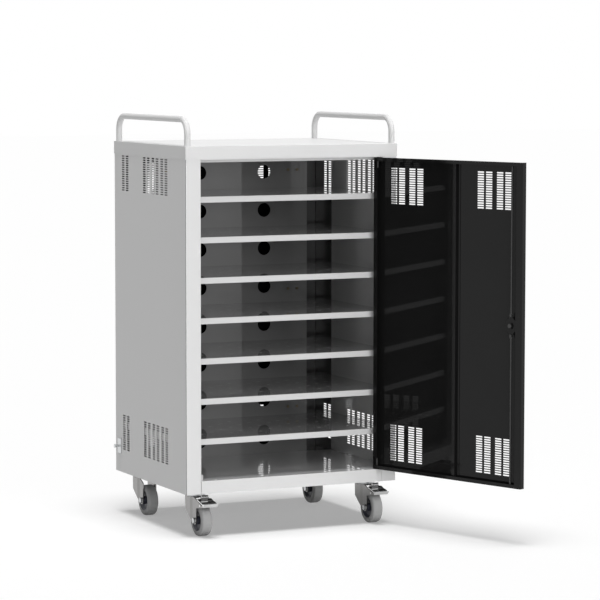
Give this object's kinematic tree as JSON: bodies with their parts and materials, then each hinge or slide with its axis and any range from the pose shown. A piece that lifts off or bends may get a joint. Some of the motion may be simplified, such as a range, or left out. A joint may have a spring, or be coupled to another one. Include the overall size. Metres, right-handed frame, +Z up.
{
  "type": "laptop storage cart",
  "caption": "Laptop storage cart: grey steel cabinet on four casters, slotted dark doors, seven shelves, two push handles.",
  "frame": {"origin": "on the floor, under the middle of the cabinet", "axes": "+Z up, +X to the right seen from the front, +Y from the front door to the rear door"},
  "size_m": [0.7026, 0.8887, 1.0025],
  "materials": {
    "body_grey": "satin light grey paint",
    "graphite": "glossy dark graphite paint",
    "chrome": "bright plated",
    "zinc": "zinc plated",
    "black_plastic": "matte",
    "core_plastic": "satin dark",
    "tyre_grey": "matte grey rubber",
    "stop_rubber": "matte light grey rubber"
  },
  "bodies": {
    "cabinet": {"side_panel_left": "body_grey", "side_panel_right": "body_grey", "base_pan": "body_grey", "top_rail_front": "body_grey", "top_rail_rear": "body_grey", "top_cap": "body_grey", "caster_channel_front": "graphite", "caster_channel_rear": "graphite", "cable_wall": "graphite", "handle_left": "body_grey", "handle_right": "body_grey", "handle_screws": "zinc", "power_strips": "black_plastic", "strip_screws": "zinc", "cord_hook": "zinc", "door_stop": "stop_rubber", "caster_bolts": "zinc", "shelf_1": "graphite", "shelf_2": "graphite", "shelf_3": "graphite", "shelf_4": "graphite", "shelf_5": "graphite", "shelf_6": "graphite", "shelf_7": "graphite", "caster_plate_front_left": "zinc", "caster_plate_front_right": "zinc", "caster_plate_rear_left": "zinc", "caster_plate_rear_right": "zinc"},
    "front_door_leaf": {"front_door": "graphite", "front_door_stiffener": "graphite", "front_door_pins": "zinc", "lock_case": "graphite", "lock_plate": "chrome"},
    "door_handle": {"lock_lever": "chrome", "lock_nut": "zinc"},
    "top_bolt": {"upper_rod": "zinc"},
    "bottom_bolt": {"lower_rod": "zinc"},
    "rear_door_leaf": {"rear_door": "graphite", "rear_door_stiffener": "graphite", "rear_door_pins": "zinc", "rear_lock_barrel": "chrome"},
    "rear_latch": {"rear_lock_tongue": "zinc"},
    "fork_front_left": {"caster_fork_front_left": "chrome", "caster_axle_front_left": "zinc"},
    "wheel_front_left": {"caster_hub_front_left": "core_plastic", "caster_tyre_front_left": "tyre_grey"},
    "fork_front_right": {"caster_fork_front_right": "chrome", "caster_axle_front_right": "zinc"},
    "wheel_front_right": {"caster_hub_front_right": "core_plastic", "caster_tyre_front_right": "tyre_grey"},
    "fork_rear_left": {"caster_fork_rear_left": "chrome", "caster_axle_rear_left": "zinc"},
    "wheel_rear_left": {"caster_hub_rear_left": "core_plastic", "caster_tyre_rear_left": "tyre_grey"},
    "fork_rear_right": {"caster_fork_rear_right": "chrome", "caster_axle_rear_right": "zinc"},
    "wheel_rear_right": {"caster_hub_rear_right": "core_plastic", "caster_tyre_rear_right": "tyre_grey"},
    "pedal_left": {"brake_pedal_left": "chrome"},
    "pedal_right": {"brake_pedal_right": "chrome"}
  },
  "joints": [
    {"name": "front_door_hinge", "type": "hinge", "parent": "cabinet", "child": "front_door_leaf", "pos_m": [0.2308, -0.2199, 0.5], "axis": [0, 0, 1], "range_deg": [-110, 0]},
    {"name": "lock_handle_turn", "type": "hinge", "parent": "front_door_leaf", "child": "door_handle", "pos_m": [0.3839, -0.62124, 0.5177], "axis": [-0.9397, -0.342, 0], "range_deg": [0, 90]},
    {"name": "upper_rod_slide", "type": "slide", "parent": "front_door_leaf", "child": "top_bolt", "axis": [0, 0, 1], "range_m": [0, 0.01]},
    {"name": "lower_rod_slide", "type": "slide", "parent": "front_door_leaf", "child": "bottom_bolt", "axis": [0, 0, -1], "range_m": [0, 0.01]},
    {"name": "rear_door_hinge", "type": "hinge", "parent": "cabinet", "child": "rear_door_leaf", "pos_m": [-0.2308, 0.2199, 0.5], "axis": [0, 0, 1], "range_deg": [0, 110]},
    {"name": "rear_latch_turn", "type": "hinge", "parent": "rear_door_leaf", "child": "rear_latch", "pos_m": [0.2042, 0.2265, 0.5177], "axis": [0, -1, 0], "range_deg": [0, 90]},
    {"name": "swivel_front_left", "type": "hinge", "parent": "cabinet", "child": "fork_front_left", "pos_m": [-0.228, -0.1615, 0.09], "axis": [0, 0, 1], "continuous": true},
    {"name": "spin_front_left", "type": "hinge", "parent": "fork_front_left", "child": "wheel_front_left", "pos_m": [-0.228, -0.1975, 0.038], "axis": [1, 0, 0], "continuous": true},
    {"name": "swivel_front_right", "type": "hinge", "parent": "cabinet", "child": "fork_front_right", "pos_m": [0.228, -0.1615, 0.09], "axis": [0, 0, 1], "continuous": true},
    {"name": "spin_front_right", "type": "hinge", "parent": "fork_front_right", "child": "wheel_front_right", "pos_m": [0.228, -0.1975, 0.038], "axis": [1, 0, 0], "continuous": true},
    {"name": "swivel_rear_left", "type": "hinge", "parent": "cabinet", "child": "fork_rear_left", "pos_m": [-0.228, 0.1725, 0.09], "axis": [0, 0, 1], "continuous": true},
    {"name": "spin_rear_left", "type": "hinge", "parent": "fork_rear_left", "child": "wheel_rear_left", "pos_m": [-0.228, 0.1365, 0.038], "axis": [1, 0, 0], "continuous": true},
    {"name": "swivel_rear_right", "type": "hinge", "parent": "cabinet", "child": "fork_rear_right", "pos_m": [0.228, 0.1725, 0.09], "axis": [0, 0, 1], "continuous": true},
    {"name": "spin_rear_right", "type": "hinge", "parent": "fork_rear_right", "child": "wheel_rear_right", "pos_m": [0.228, 0.1365, 0.038], "axis": [1, 0, 0], "continuous": true},
    {"name": "pedal_turn_left", "type": "hinge", "parent": "fork_front_left", "child": "pedal_left", "pos_m": [-0.228, -0.2275, 0.0775], "axis": [1, 0, 0], "range_deg": [0, 8]},
    {"name": "pedal_turn_right", "type": "hinge", "parent": "fork_front_right", "child": "pedal_right", "pos_m": [0.228, -0.2275, 0.0775], "axis": [1, 0, 0], "range_deg": [0, 8]}
  ],
  "couplings": [
    {"joint": "upper_rod_slide", "follows": "lock_handle_turn", "m_per_rad": 0.0063662},
    {"joint": "lower_rod_slide", "follows": "lock_handle_turn", "m_per_rad": 0.0063662}
  ]
}
